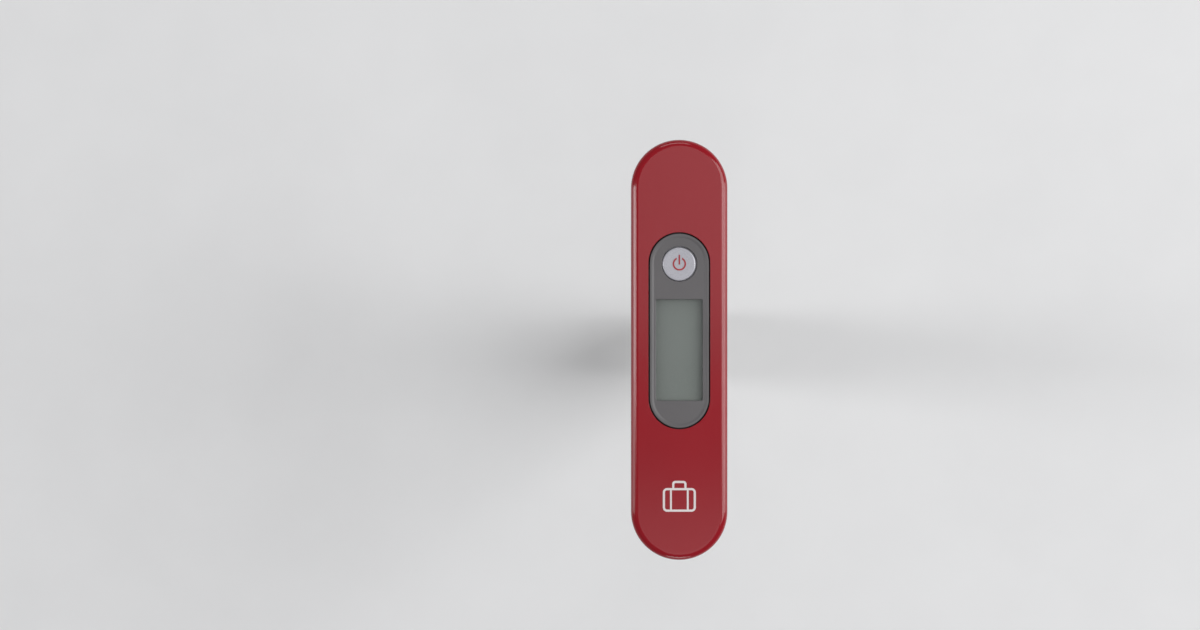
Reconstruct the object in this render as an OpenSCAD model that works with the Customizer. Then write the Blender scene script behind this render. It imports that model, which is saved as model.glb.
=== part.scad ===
// Hand-held digital luggage scale: a stadium-shaped body with a display, a load
// cell, a hanging ring and a webbing strap that loops round a luggage handle.
// X is the width, Y the length with the button end at +Y, Z is up out of the face.
// z = 0 is the joint between the top cover and the lower shell.

/* [Body] */
// Length of the body
body_l = 135; // [128:1:142]
// Width of the body
body_w = 31; // [30:0.5:33]
// Height of the top cover above the joint
cover_h = 6; // [5.8:0.1:6.6]
// Radius of the top cover's upper edge
edge_r = 2.3; // [1.2:0.1:2.4]
// Depth of the lower shell at its middle
hull_depth = 15; // [14.5:0.5:17]
// Depth of the lower shell at its ends
hull_end = 3.4; // [3:0.2:4.4]
// Distance over which the lower shell rounds in from its rim
hull_round = 11; // [9:0.5:12]
// Straight lip at the rim of the lower shell
lip = 1.2; // [0.8:0.1:1.4]

/* [Face] */
// Width of the bezel panel
bezel_w = 19.1; // [18:0.1:20]
// Length of the bezel panel
bezel_l = 62.5; // [62:0.1:64]
// Distance from the body's middle to the bezel's middle
bezel_y = 6.15; // [5.8:0.05:6.5]
// Width of the display window
window_w = 15; // [13:0.1:15.4]
// Length of the display window
window_l = 32.5; // [30:0.1:33]
// Diameter of the power button
button_d = 10.8; // [10:0.1:11.2]
// Distance from the body's middle to the button's middle
button_y = 27.6; // [27:0.1:28]

/* [Button] */
// Travel of the button
button_travel = 0.6; // [0.3:0.05:0.7]

/* [Ring and eye] */
// Diameter of the ring's wire
wire_d = 2.8; // [2.4:0.1:2.8]
// Outside width of the ring
ring_w = 32.5; // [32:0.5:36]
// Angle of the ring's legs from the vertical
leg_angle = 32.5; // [30:0.5:36]
// Bend radius of the ring's top corner, to the middle of the wire
apex_r = 4; // [4:0.25:5]
// Bend radius of the ring's lower corners, to the middle of the wire
corner_r = 2; // [2:0.1:2.4]
// Radius of the hole in the eye
eye_hole_r = 3; // [3:0.1:3.4]

/* [Strap] */
// Width of the webbing
strap_w = 25; // [20:1:25]
// Thickness of the webbing
strap_t = 1.4; // [1.2:0.1:1.4]
// Length of the sewn fold below the ring's bar
fold_len = 29; // [26:1:32]
// Distance from the bar to the bending line of the strap
bend_at = 55; // [50:1:60]
// Distance from the bar to the top of the sewn neck of the loop
neck_at = 79; // [74:1:86]
// Length of the sewn neck
neck_len = 14; // [12:1:16]
// Length of the loop's sides, from the neck to its round end
loop_len = 52; // [46:1:58]
// Inner radius of the loop's round end
loop_r = 11; // [10:0.5:12]

/* [Battery] */
// Diameter of the coin cell
cell_d = 20; // [20:0.1:20.2]
// Thickness of the coin cell
cell_t = 3.2; // [2.5:0.1:3.2]
// Distance from the body's middle to the coin cell's middle
cell_y = 43; // [42.8:0.1:43.2]

/* [Hidden] */
$fn = 64;
e = 0.01;
wall = 1.8;
roof = 1.8;

half_l = (body_l - body_w) / 2;          // centre of each round end
roof_z = cover_h - roof;                 // underside of the cover's top
pocket_z = cover_h - 1;                  // floor of the bezel's pocket
bezel_top = cover_h + 0.3;
bezel_floor = cover_h + 0.1;
lens_t = 0.9;
lcd_top = roof_z - 0.3;
lcd_bottom = lcd_top - 2;
pcb_t = 1.2;
pcb_w = 23;
pcb_y0 = -31;
pcb_y1 = 38.5;

// circle of the keel line: its depth is hull_depth at the middle and hull_end at the ends
sag = hull_depth - hull_end;
function keel(y) = hull_depth - sag * pow(y / (body_l / 2), 2);

// beam of the load cell
beam_w = 12;
beam_l = 58;
beam_top = -4.5;
beam_bottom = -9;
beam_hole_y = 24.5;

// eye, ring and strap heights
eye_z = -(hull_depth + 6.5);
eye_t = 3;
eye_r = eye_hole_r + 2;
ring_z = eye_z - (eye_hole_r - wire_d / 2 - 0.7);
corner_y = ring_w / 2 - wire_d / 2 - corner_r;
leg_y0 = corner_y + corner_r * cos(leg_angle);
leg_z0 = corner_r + corner_r * sin(leg_angle);
leg_y1 = apex_r * cos(leg_angle);
leg_len = (leg_y0 - leg_y1) / sin(leg_angle);
ring_h = leg_z0 + leg_len * cos(leg_angle) + apex_r * (1 - sin(leg_angle));
bar_z = ring_z - ring_h;
bend_z = bar_z - bend_at;
bend_gap = 1.2;

// battery
cell_z0 = -5.6;
door_w = 21.5;
door_l = 23;
door_gap = 0.3;

// screws
screw_x = 6.5;
screw_y = half_l + 6;
pcb_screws_at = [[9.3, 32], [-9.3, 32], [9.3, -25], [-9.3, -25]];

// ---- shared shapes ----

module stadium(l, w) {
    square([w, l - w], center = true);
    for (s = [-1, 1]) translate([0, s * (l - w) / 2]) circle(d = w);
}

module round_rect(w, l, r) {
    square([w, l - 2 * r], center = true);
    square([w - 2 * r, l], center = true);
    for (sx = [-1, 1], sy = [-1, 1])
        translate([sx * (w / 2 - r), sy * (l / 2 - r)]) circle(r);
}

// sweeps a half profile (distance from the rim's centre line, height) round the stadium
module sweep_stadium() {
    translate([0, half_l, 0]) rotate([90, 0, 0]) linear_extrude(2 * half_l) {
        children();
        mirror([1, 0]) children();
    }
    for (s = [0, 180]) rotate([0, 0, s]) translate([0, half_l, 0])
        rotate_extrude(angle = 180) children();
}

// closed round-bottomed solid: the stadium inset by `inset`, its depth less by `up`
function ring_pts(d, inset, up, top) = let(
        r = body_w / 2 - inset - d,
        rc = hull_round - inset,
        t = min(d / rc, 1),
        g = sqrt(1 - pow(1 - t, 2)),
        side = 14, arc = 16)
    [for (q = [0:1]) for (i = [0:side + arc - 1])
        let(s = q == 0 ? 1 : -1,
            along = i < side ? -half_l + 2 * half_l * i / side : half_l,
            a = i < side ? 0 : (i - side) * 180 / arc,
            x = s * r * cos(a),
            y = s * (along + r * sin(a)),
            z = -(lip + (keel(y) - up - lip) * g))
        [x, y, top ? 0.5 * inset : z]];

module hull_solid(inset, up) {
    steps = [0, 0.012, 0.05, 0.11, 0.19, 0.3, 0.43, 0.58, 0.76, 1];
    rc = hull_round - inset;
    n = 60;
    r_end = 0.4;
    loops = concat(
        [ring_pts(0, inset, up, true)],
        [for (t = steps) ring_pts(rc * t, inset, up, false)],
        [ring_pts(body_w / 2 - inset - r_end, inset, up, false)]);
    m = len(loops);
    pts = [for (l = loops) each l];
    walls = [for (k = [0:m - 2]) for (i = [0:n - 1])
        let(a = k * n + i, b = k * n + (i + 1) % n, c = a + n, d = b + n)
        each [[a, b, c], [b, d, c]]];
    lid = [[for (i = [0:n - 1]) n - 1 - i]];
    // the keel strip joins each point to the one across it
    k0 = (m - 1) * n;
    side = 14; arc = 16;
    // right-hand points from -half_l up to the far end, and their mirror images
    right = [for (i = [0:side + arc / 2]) k0 + i];
    left = [for (i = [0:side + arc / 2]) k0 + (i <= side ? side + arc + (side - i) : side + arc - (i - side)) % n];
    low_right = [for (i = [0:arc / 2]) k0 + (n - i) % n];
    low_left = [for (i = [0:arc / 2]) k0 + side + arc + side + i];
    keel_faces = concat(
        [for (i = [0:side + arc / 2 - 1]) each
            right[i + 1] == left[i + 1]
                ? [[left[i], right[i], right[i + 1]]]
                : [[left[i], right[i], right[i + 1]], [left[i + 1], left[i], right[i + 1]]]],
        [for (i = [0:arc / 2 - 1]) each
            low_right[i + 1] == low_left[i + 1]
                ? [[low_right[i + 1], low_right[i], low_left[i]]]
                : [[low_right[i + 1], low_right[i], low_left[i]], [low_right[i + 1], low_left[i], low_left[i + 1]]]]);
    polyhedron(points = pts, faces = concat(walls, lid, keel_faces), convexity = 4);
}

// sketch plane (x, y) stands as (Y, Z)
module in_yz() rotate([90, 0, 90]) children();

// pan-head screw pointing down from z = 0, with a cross recess
module screw(head_r, head_h, r, l, pointing = -1) {
    mirror([0, 0, pointing > 0 ? 1 : 0]) {
        difference() {
            cylinder(r = head_r, h = head_h);
            for (a = [0, 90]) rotate([0, 0, a])
                translate([-head_r * 0.55, -head_r * 0.13, head_h - 0.45 * head_h])
                    cube([head_r * 1.1, head_r * 0.26, head_h]);
        }
        translate([0, 0, -l]) cylinder(r = r, h = l + e);
    }
}

module stick(a, b, r) {
    d = b - a;
    l = norm(d);
    translate(a) rotate([0, acos(d[2] / l), atan2(d[1], d[0])]) cylinder(r = r, h = l);
}

module wire(points, r) {
    for (i = [0:len(points) - 2]) stick(points[i], points[i + 1], r);
    for (i = [1:len(points) - 2]) translate(points[i]) sphere(r = r * 1.08, $fn = 24);
}

// ---- casing ----

module top_cover() color("firebrick") difference() {
    union() {
        difference() {
            sweep_stadium() {
                square([body_w / 2, cover_h - edge_r]);
                square([body_w / 2 - edge_r, cover_h]);
                translate([body_w / 2 - edge_r, cover_h - edge_r]) intersection() {
                    circle(edge_r);
                    square(edge_r);
                }
            }
            translate([0, 0, -1]) linear_extrude(roof_z + 1) stadium(body_l - 2 * wall, body_w - 2 * wall);
        }
        // frame that locates the display
        translate([0, 0, 1.2]) linear_extrude(roof_z - 1.2 + 0.3) difference() {
            square([20.4, 40.8], center = true);
            square([18.4, 38.8], center = true);
        }
        // posts for the circuit board and the lower shell
        for (p = pcb_screws_at) translate([p[0], p[1], 0]) cylinder(r = 2, h = roof_z + 0.3);
        for (sx = [-1, 1], sy = [-1, 1]) translate([sx * screw_x, sy * screw_y, 0])
            cylinder(r = 2.4, h = roof_z + 0.3);
    }
    // pocket for the bezel
    translate([0, bezel_y, pocket_z]) linear_extrude(5) stadium(bezel_l + 0.7, bezel_w + 0.7);
    // openings under the bezel
    translate([0, 0, 2]) linear_extrude(5) square([window_w + 2, window_l + 2], center = true);
    translate([0, button_y, 2]) cylinder(r = button_d / 2 + 0.3, h = 5);
    // screw holes
    for (p = pcb_screws_at) translate([p[0], p[1], -1]) cylinder(r = 0.8, h = 4.4);
    for (sx = [-1, 1], sy = [-1, 1]) translate([sx * screw_x, sy * screw_y, -1]) cylinder(r = 1, h = 4.6);
}

module door_cut(grow, depth = 30) translate([0, -cell_y, -depth]) linear_extrude(depth)
    round_rect(door_w + 2 * grow, door_l + 2 * grow, 3 + grow);

module bottom_shell() color("dimgray") difference() {
    union() {
        difference() {
            hull_solid(0, 0);
            hull_solid(wall, wall);
        }
        intersection() {
            hull_solid(0.6, 0.6);
            union() {
                // well round the coin cell
                translate([0, -cell_y, -20]) linear_extrude(20 - 2.9)
                    round_rect(door_w + 2 * door_gap + 2, door_l + 2 * door_gap + 2, 4);
                // posts for the cover's screws
                for (sx = [-1, 1], sy = [-1, 1]) translate([sx * screw_x, sy * screw_y, -20])
                    cylinder(r = 3.2, h = 20);
                // posts that carry the load cell
                for (sy = [-1, 1]) translate([0, sy * beam_hole_y, -20]) cylinder(r = 4.4, h = 20 + beam_bottom);
            }
        }
    }
    door_cut(door_gap);
    for (sx = [-1, 1], sy = [-1, 1]) translate([sx * screw_x, sy * screw_y, 0]) {
        translate([0, 0, -20]) cylinder(r = 1.15, h = 21);
        translate([0, 0, -20]) cylinder(r = 2.2, h = 17.6);
    }
    for (sy = [-1, 1]) translate([0, sy * beam_hole_y, beam_bottom - 3.2]) cylinder(r = 1.5, h = 10);
    translate([0, 0, -20]) cylinder(r = 4.5, h = 10);
}

module bezel_panel() color("gray") difference() {
    union() {
        translate([0, bezel_y, pocket_z]) linear_extrude(bezel_floor - pocket_z) stadium(bezel_l, bezel_w);
        translate([0, bezel_y, pocket_z]) linear_extrude(bezel_top - pocket_z) difference() {
            stadium(bezel_l, bezel_w);
            stadium(bezel_l - 2.6, bezel_w - 2.6);
        }
    }
    translate([0, 0, 2]) linear_extrude(10) round_rect(window_w, window_l, 0.6);
    translate([0, button_y, 2]) cylinder(r = button_d / 2 + 0.3, h = 10);
}

// ---- display ----

module lens_window() color("whitesmoke", 0.5) translate([0, 0, pocket_z - lens_t])
    linear_extrude(lens_t) round_rect(window_w + 1.6, window_l + 1.6, 1);

module lcd_glass() color("darkseagreen") {
    translate([-8.8, -18.9, lcd_bottom]) cube([17.6, 37.8, 1]);
    translate([-8.8, -17.4, lcd_bottom + 1 - e]) cube([17.6, 34.8, 1 + e]);
}

module lcd_light_guide() color("ivory") translate([-8, -16.4, 0.3]) cube([16, 32.8, lcd_bottom - 0.4]);

module zebra_strips() color("black") for (s = [-1, 1])
    translate([-8, s * 17.9 - 0.9, 0]) cube([16, 1.8, lcd_bottom]);

// ---- circuit board ----

module main_pcb() color("darkgreen") difference() {
    translate([0, (pcb_y0 + pcb_y1) / 2, -pcb_t]) linear_extrude(pcb_t) round_rect(pcb_w, pcb_y1 - pcb_y0, 1);
    for (p = pcb_screws_at) translate([p[0], p[1], -5]) cylinder(r = 1, h = 10);
}

module pcb_components() color("darkslategray") {
    translate([-2.5, -29, 0]) cube([5, 4, 1.5]);
    for (i = [0:3]) for (s = [-1, 1])
        translate([-2.2 + i * 1.27, -27 + s * 2.45 - 0.45, 0]) cube([0.45, 0.9, 0.7]);
    translate([4.6, -15, -pcb_t - 1]) cylinder(r = 3.5, h = 1);
    for (p = [[-6, -14], [-6, -12], [-3, -14], [6, 8], [6, 10], [-6, 9], [-8, 18], [8, 18]])
        translate([p[0] - 0.8, p[1] - 0.4, -pcb_t - 0.6]) cube([1.6, 0.8, 0.6]);
    translate([-7.6, 34, 0]) cube([4, 2, 1.2]);
    translate([5, 34.4, 0]) cube([1.6, 0.8, 0.6]);
}

module tact_switch() color("silver") translate([0, button_y, 0]) difference() {
    union() {
        translate([-3, -3, 0]) cube([6, 6, 1.7]);
        for (sx = [-1, 1], sy = [-1, 1]) translate([sx * 3.6 - 0.6, sy * 2 - 0.35, 0]) cube([1.2, 0.7, 0.3]);
    }
    translate([0, 0, 0.4]) cylinder(r = 1.07, h = 4);
}

// ---- button ----

module switch_plunger() color("black") translate([0, button_y, 1.3]) cylinder(r = 1, h = 1.3);

module button_cap() color("lightgray") translate([0, button_y, 0]) rotate_extrude() {
    translate([0, 2.6]) square([2, 1]);
    translate([0, 3.1]) square([button_d / 2 + 1.1, 0.8]);
    translate([0, 3.1]) square([button_d / 2, bezel_top - 0.6 - 3.1]);
    translate([0, 3.1]) square([button_d / 2 - 0.4, bezel_top - 0.2 - 3.1]);
    translate([button_d / 2 - 0.4, bezel_top - 0.6]) intersection() {
        circle(0.4, $fn = 32);
        square(0.4);
    }
}

module button_icon() color("indianred") translate([0, button_y, bezel_top - 0.2]) linear_extrude(0.06) {
    difference() {
        circle(2.15);
        circle(1.65);
        translate([-0.85, 0]) square([1.7, 3]);
    }
    translate([-0.25, -0.2]) square([0.5, 3.1]);
}

// plain suitcase sign on the face
module face_mark() color("white") translate([0, -47.2, cover_h]) linear_extrude(0.08) {
    difference() {
        translate([0, -0.9]) round_rect(10.6, 7.6, 1.4);
        translate([0, -0.9]) round_rect(9.2, 6.2, 0.7);
    }
    for (s = [-1, 1]) translate([s * 2.7 - 0.3, -4.4]) square([0.6, 7]);
    difference() {
        translate([0, 3.2]) round_rect(4.6, 4, 1);
        translate([0, 2.9]) round_rect(3.2, 3.2, 0.4);
        translate([-4, -1.6]) square([8, 4]);
    }
}

// ---- fasteners ----

module housing_screws() color("silver") for (sx = [-1, 1], sy = [-1, 1])
    translate([sx * screw_x, sy * screw_y, -2.4]) screw(1.95, 1.2, 0.98, 5.6, 1);

module pcb_screws() color("silver") for (p = pcb_screws_at)
    translate([p[0], p[1], -pcb_t]) screw(1.7, 0.9, 0.78, 4.2, 1);

module load_cell_screws() color("silver") for (s = [-1, 1])
    translate([0, s * beam_hole_y, beam_top]) screw(2.75, 1.8, 1.48, 7.5);

// ---- load cell ----

module load_cell_beam() color("lightsteelblue") difference() {
    translate([-beam_w / 2, -beam_l / 2, beam_bottom]) cube([beam_w, beam_l, beam_top - beam_bottom]);
    translate([0, 0, -12]) cylinder(r = 2.15, h = 12);
    for (s = [-1, 1]) {
        translate([0, s * beam_hole_y, -12]) cylinder(r = 1.6, h = 12);
        for (y = [9.5, 15.5]) translate([-10, s * y, (beam_top + beam_bottom) / 2])
            rotate([0, 90, 0]) cylinder(r = 1.5, h = 20);
        translate([-10, s * 12.5 - 3, (beam_top + beam_bottom) / 2 - 0.5]) cube([20, 6, 1]);
    }
}

module strain_gauges() color("darkgoldenrod") for (s = [-1, 1], z = [beam_top, beam_bottom - 0.15])
    translate([-2.5, s * 12.5 - 3.5, z]) cube([5, 7, 0.15]);

module gauge_wires() color("white") for (s = [-1, 1], k = [-1, 1])
    wire([[k * 1.6, s * 13, beam_top + 0.45], [k * 2.6, s * 10.5, beam_top + 0.9], [k * 3.4, s * 8, -pcb_t - 0.35]], 0.3);

module load_eye() color("gainsboro") {
    difference() {
        union() {
            translate([0, eye_t / 2, eye_z]) rotate([90, 0, 0]) cylinder(r = eye_r, h = eye_t);
            translate([0, 0, eye_z + eye_hole_r + 1]) cylinder(r = 2.5, h = beam_bottom - eye_z - eye_hole_r - 1);
        }
        translate([0, 5, eye_z]) rotate([90, 0, 0]) cylinder(r = eye_hole_r, h = 10);
    }
    translate([0, 0, beam_bottom - e]) cylinder(r = 2, h = 7.1);
}

module eye_nut() color("silver") translate([0, 0, beam_top]) difference() {
    cylinder(r = 4.04, h = 2.2, $fn = 6);
    translate([0, 0, -1]) cylinder(r = 2.03, h = 5);
}

module eye_grommet() color("black") difference() {
    union() {
        translate([0, 0, -(hull_depth + 0.9)]) cylinder(r = 6, h = 0.8);
        translate([0, 0, -(hull_depth + 0.9)]) cylinder(r = 4.45, h = 3.3);
    }
    translate([0, 0, -(hull_depth + 5)]) cylinder(r = 2.7, h = 20);
}

// ---- battery ----

module battery_cell() color("silver") translate([0, -cell_y, cell_z0]) {
    cylinder(d = cell_d, h = cell_t - 0.5);
    cylinder(d = cell_d - 2.2, h = cell_t);
}

module battery_contacts() color("khaki") {
    translate([-2.5, -cell_y - 5, cell_z0 + cell_t]) cube([5, 19, 0.3]);
    translate([-2.5, -30.6, cell_z0 + cell_t]) cube([5, 0.3, -pcb_t - cell_z0 - cell_t]);
    translate([4, -cell_y + 9.3, -5.4]) rotate([0, 0, -25]) cube([4, 0.3, 2.4]);
}

module battery_wires() color("red") {
    wire([[7.2, -33.6, -3.4], [8.2, -32.4, -2.4], [7.4, -30, -1.6]], 0.4);
}

module battery_door() color("dimgray") intersection() {
    difference() {
        hull_solid(0, 0);
        hull_solid(wall, wall);
        translate([-4, -cell_y + door_l / 2 - 1.6, -20]) cube([8, 5, 19]);
    }
    door_cut(0);
}

// ---- ring ----

// the wire's middle line, once round: across, up, and the angle of its outward side
ring_path = concat(
    [for (i = [0:14]) let(a = leg_angle + (180 - 2 * leg_angle) * i / 14)
        [apex_r * cos(a), ring_h - apex_r + apex_r * sin(a), a]],
    [for (i = [0:12]) let(a = 180 - leg_angle + (90 + leg_angle) * i / 12)
        [-corner_y + corner_r * cos(a), corner_r + corner_r * sin(a), a]],
    [for (i = [0:12]) let(a = 270 + (90 + leg_angle) * i / 12)
        [corner_y + corner_r * cos(a), corner_r + corner_r * sin(a), a]]);

// bent from one wire, its ends butted together in the base bar
module triangle_ring() color("silver") {
    n = len(ring_path);
    m = 24;
    pts = [for (p = ring_path) for (j = [0:m - 1])
        [wire_d / 2 * sin(j * 360 / m),
         p[0] + wire_d / 2 * cos(j * 360 / m) * cos(p[2]),
         bar_z + p[1] + wire_d / 2 * cos(j * 360 / m) * sin(p[2])]];
    faces = [for (k = [0:n - 1]) for (j = [0:m - 1])
        let(a = k * m + j, b = k * m + (j + 1) % m,
            c = ((k + 1) % n) * m + j, d = ((k + 1) % n) * m + (j + 1) % m)
        each [[a, b, c], [b, d, c]]];
    polyhedron(points = pts, faces = faces, convexity = 4);
}

// ---- strap ----

// profile (X, Z) drawn from the bar's middle, pulled out along Y by the webbing's width
module webbing(w = strap_w) translate([0, 0, bar_z]) rotate([90, 0, 0]) translate([0, 0, -w / 2]) linear_extrude(w) children();

fold_in = wire_d / 2 + 0.3;
fold_out = fold_in + strap_t;

module strap_fold() color("dimgray") difference() {
    union() {
        webbing() circle(fold_out);
        webbing() polygon([[-fold_out + 0.2, -0.8], [fold_out - 0.2, -0.8], [2.1, -6], [strap_t, -10], [strap_t, -fold_len],
            [strap_t / 2, -fold_len - 1.2], [strap_t / 2, -bend_at + bend_gap],
            [-strap_t / 2, -bend_at + bend_gap], [-strap_t / 2, -fold_len - 1.2],
            [-strap_t, -fold_len], [-strap_t, -10], [-2.1, -6]]);
    }
    webbing(strap_w + 2) circle(fold_in);
    webbing(strap_w + 2) polygon([[-fold_in + 0.2, -0.6], [fold_in - 0.2, -0.6], [0.75, -5.6], [0.1, -9], [-0.1, -9], [-0.75, -5.6]]);
}

// rows of short stitches across the webbing, on both faces at distance t from its middle
module stitch_row(s, t, w = 21.6) for (k = [0:7], side = [-1, 1])
    translate([side * t - 0.15, -w / 2 + k * w / 8 + 0.3, bar_z - s - 0.25]) cube([0.3, w / 8 - 0.6, 0.5]);

module fold_stitching() color("black") {
    stitch_row(fold_len - 1.6, strap_t);
    stitch_row(fold_len - 4.2, strap_t);
}

neck_end = neck_at + neck_len;
loop_c = neck_end + loop_len;
// half width of the loop's middle line at share u of its side
function loop_x(u) = strap_t / 2 + (loop_r) * (1 - cos(180 * u)) / 2;
function loop_slope(u) = atan(loop_r * PI / 2 * sin(180 * u) / loop_len);
function loop_side(off, u0) = [for (i = [0:12]) let(u = u0 + (1 - u0) * i / 12, a = loop_slope(u))
    [loop_x(u) + off * cos(a), -(neck_end + loop_len * u) + off * sin(a)]];
function flip(p) = [for (i = [len(p) - 1:-1:0]) [-p[i][0], p[i][1]]];

module strap_loop() color("dimgray") difference() {
    union() {
        webbing() polygon([[-strap_t / 2, -bend_at - bend_gap], [strap_t / 2, -bend_at - bend_gap],
            [strap_t / 2, -neck_at + 1.2], [strap_t, -neck_at], [strap_t, -neck_end - 2],
            [-strap_t, -neck_end - 2], [-strap_t, -neck_at], [-strap_t / 2, -neck_at + 1.2]]);
        webbing() polygon(concat(loop_side(strap_t / 2, 0), flip(loop_side(strap_t / 2, 0))));
        webbing() translate([0, -loop_c]) circle(loop_r + strap_t);
    }
    webbing(strap_w + 2) polygon(concat([[0, -neck_end - 5]], loop_side(-strap_t / 2, 0.18), flip(loop_side(-strap_t / 2, 0.18))));
    webbing(strap_w + 2) translate([0, -loop_c]) circle(loop_r);
}

module loop_stitching() color("black") {
    stitch_row(neck_at + 2, strap_t);
    stitch_row(neck_end - 2, strap_t);
}

top_cover();
bottom_shell();
bezel_panel();
lens_window();
lcd_glass();
lcd_light_guide();
zebra_strips();
main_pcb();
pcb_components();
tact_switch();
switch_plunger();
button_cap();
button_icon();
face_mark();
housing_screws();
pcb_screws();
load_cell_beam();
strain_gauges();
gauge_wires();
load_cell_screws();
load_eye();
eye_nut();
eye_grommet();
battery_cell();
battery_contacts();
battery_wires();
battery_door();
triangle_ring();
strap_fold();
fold_stitching();
strap_loop();
loop_stitching();
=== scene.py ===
import math

import bpy
import bmesh
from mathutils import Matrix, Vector
from mathutils.geometry import tessellate_polygon


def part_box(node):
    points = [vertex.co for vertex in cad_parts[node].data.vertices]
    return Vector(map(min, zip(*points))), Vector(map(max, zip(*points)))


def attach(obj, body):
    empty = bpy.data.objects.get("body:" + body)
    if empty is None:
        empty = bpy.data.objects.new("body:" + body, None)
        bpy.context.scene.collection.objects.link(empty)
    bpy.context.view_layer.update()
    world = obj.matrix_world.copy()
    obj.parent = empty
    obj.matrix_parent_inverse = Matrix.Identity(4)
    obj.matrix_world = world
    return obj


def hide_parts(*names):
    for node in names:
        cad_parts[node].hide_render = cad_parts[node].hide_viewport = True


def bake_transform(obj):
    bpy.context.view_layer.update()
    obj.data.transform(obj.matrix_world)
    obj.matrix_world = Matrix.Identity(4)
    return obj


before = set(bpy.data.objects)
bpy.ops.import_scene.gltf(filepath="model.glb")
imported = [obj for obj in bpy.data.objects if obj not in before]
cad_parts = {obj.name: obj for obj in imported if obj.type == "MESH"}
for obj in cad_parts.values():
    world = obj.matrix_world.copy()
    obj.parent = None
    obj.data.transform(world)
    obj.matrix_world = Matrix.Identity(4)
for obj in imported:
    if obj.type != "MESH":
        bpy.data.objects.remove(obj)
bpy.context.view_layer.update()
scene = bpy.context.scene
MM = 0.001

# sizes repeated from part.scad, in millimetres
HALF_L, BODY_R = 52.0, 15.5
COVER_H, EDGE_R, ROOF = 6.0, 2.3, 4.2
DOOR_Y, DOOR_W, DOOR_L = -43.0, 21.5, 23.0
BUTTON_Y, EYE_Z = 27.6, -21.5
BAR_Z = (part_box("triangle_ring")[0].z / MM) + 1.4
RING_H = 22.4481
NECK, NECK_END, LOOP_LEN = 79.0, 93.0, 52.0


# ---------------------------------------------------------------- camera

cam_data = bpy.data.cameras.new("camera")
cam = bpy.data.objects.new("camera", cam_data)
scene.collection.objects.link(cam)
cam.location = (-0.02545, 0.0112, 1.206)
cam_data.sensor_width = 36
cam_data.lens = 36 * 1.2 / 0.3849
cam_data.clip_end = 20
scene.camera = cam


# ---------------------------------------------------------------- mesh tools

def link(name, me):
    ob = bpy.data.objects.new(name, me)
    scene.collection.objects.link(ob)
    return ob


def finish_mesh(me, angle):
    bm = bmesh.new()
    bm.from_mesh(me)
    bmesh.ops.remove_doubles(bm, verts=bm.verts, dist=0.000002)
    bmesh.ops.dissolve_degenerate(bm, edges=bm.edges, dist=0.000001)
    bmesh.ops.recalc_face_normals(bm, faces=bm.faces)
    for f in bm.faces:
        f.smooth = True
    bm.to_mesh(me)
    bm.free()
    me.set_sharp_from_angle(angle=math.radians(angle))


def make(name, parts, angle=32):
    """parts: list of (points in mm, faces); one object."""
    verts, faces = [], []
    for pts, fcs in parts:
        k = len(verts)
        verts += [(p[0] * MM, p[1] * MM, p[2] * MM) for p in pts]
        faces += [tuple(i + k for i in f) for f in fcs]
    me = bpy.data.meshes.new(name)
    me.from_pydata(verts, [], faces)
    me.validate()
    finish_mesh(me, angle)
    return link(name, me)


def loft(loops, cap0=True, cap1=True, ring=False):
    n, m = len(loops[0]), len(loops)
    pts = [p for l in loops for p in l]
    faces = []
    for k in range(m if ring else m - 1):
        for i in range(n):
            j, a, b = (i + 1) % n, k * n, ((k + 1) % m) * n
            faces.append((a + i, a + j, b + j, b + i))
    if not ring:
        if cap0:
            faces.append(tuple(range(n - 1, -1, -1)))
        if cap1:
            faces.append(tuple(range((m - 1) * n, m * n)))
    return pts, faces


def stadium(l, w, off=0.0, n_arc=48, n_side=26, cy=0.0):
    """outline of a stadium, moved outward by off; the same point count for any size"""
    r, h = w / 2 + off, (l - w) / 2
    out = []
    for s in (1, -1):
        for i in range(n_side):
            out.append((s * r, cy + s * (-h + 2 * h * i / n_side)))
        for i in range(n_arc):
            a = math.pi * i / n_arc
            out.append((s * r * math.cos(a), cy + s * (h + r * math.sin(a))))
    return out


def rrect(w, l, r, off=0.0, n=10, cx=0.0, cy=0.0):
    w, l, r = w + 2 * off, l + 2 * off, max(r + off, 0.01)
    out = []
    for qx, qy, a0 in ((1, 1, 0), (-1, 1, 90), (-1, -1, 180), (1, -1, 270)):
        for i in range(n + 1):
            a = math.radians(a0 + 90 * i / n)
            out.append((cx + qx * (w / 2 - r) + r * math.cos(a), cy + qy * (l / 2 - r) + r * math.sin(a)))
    return out


def circle(r, off=0.0, n=96, cx=0.0, cy=0.0):
    return [(cx + (r + off) * math.cos(2 * math.pi * i / n), cy + (r + off) * math.sin(2 * math.pi * i / n)) for i in range(n)]


def flat_fill(outer, holes, z):
    """triangles between outlines in the plane z"""
    rings = [[Vector((x, y, 0)) for x, y in r] for r in [outer] + holes]
    tris = tessellate_polygon(rings)
    pts = [(v.x, v.y, z) for r in rings for v in r]
    return pts, [tuple(t) for t in tris]


def wall(outline, profile):
    """walls that follow an outline function, over a profile of (offset, z)"""
    loops = [[(x, y, z) for x, y in outline(o)] for o, z in profile]
    return loft(loops, False, False)


def fan(r, x0, z0, a0, a1, n):
    return [(x0 + r * math.cos(math.radians(a0 + (a1 - a0) * i / n)), z0 + r * math.sin(math.radians(a0 + (a1 - a0) * i / n))) for i in range(n + 1)]


def lathe(profile, n=96, cx=0.0, cy=0.0):
    """profile: list of (r, z); a ring profile closes on itself, one that starts and ends at r 0 closes at the axis"""
    closed = profile[0][0] > 1e-6 or profile[-1][0] > 1e-6
    loops = [[(cx + max(r, 1e-4) * math.cos(2 * math.pi * i / n), cy + max(r, 1e-4) * math.sin(2 * math.pi * i / n), z) for i in range(n)] for r, z in profile]
    return loft(loops, not closed, not closed, ring=closed)


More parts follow.
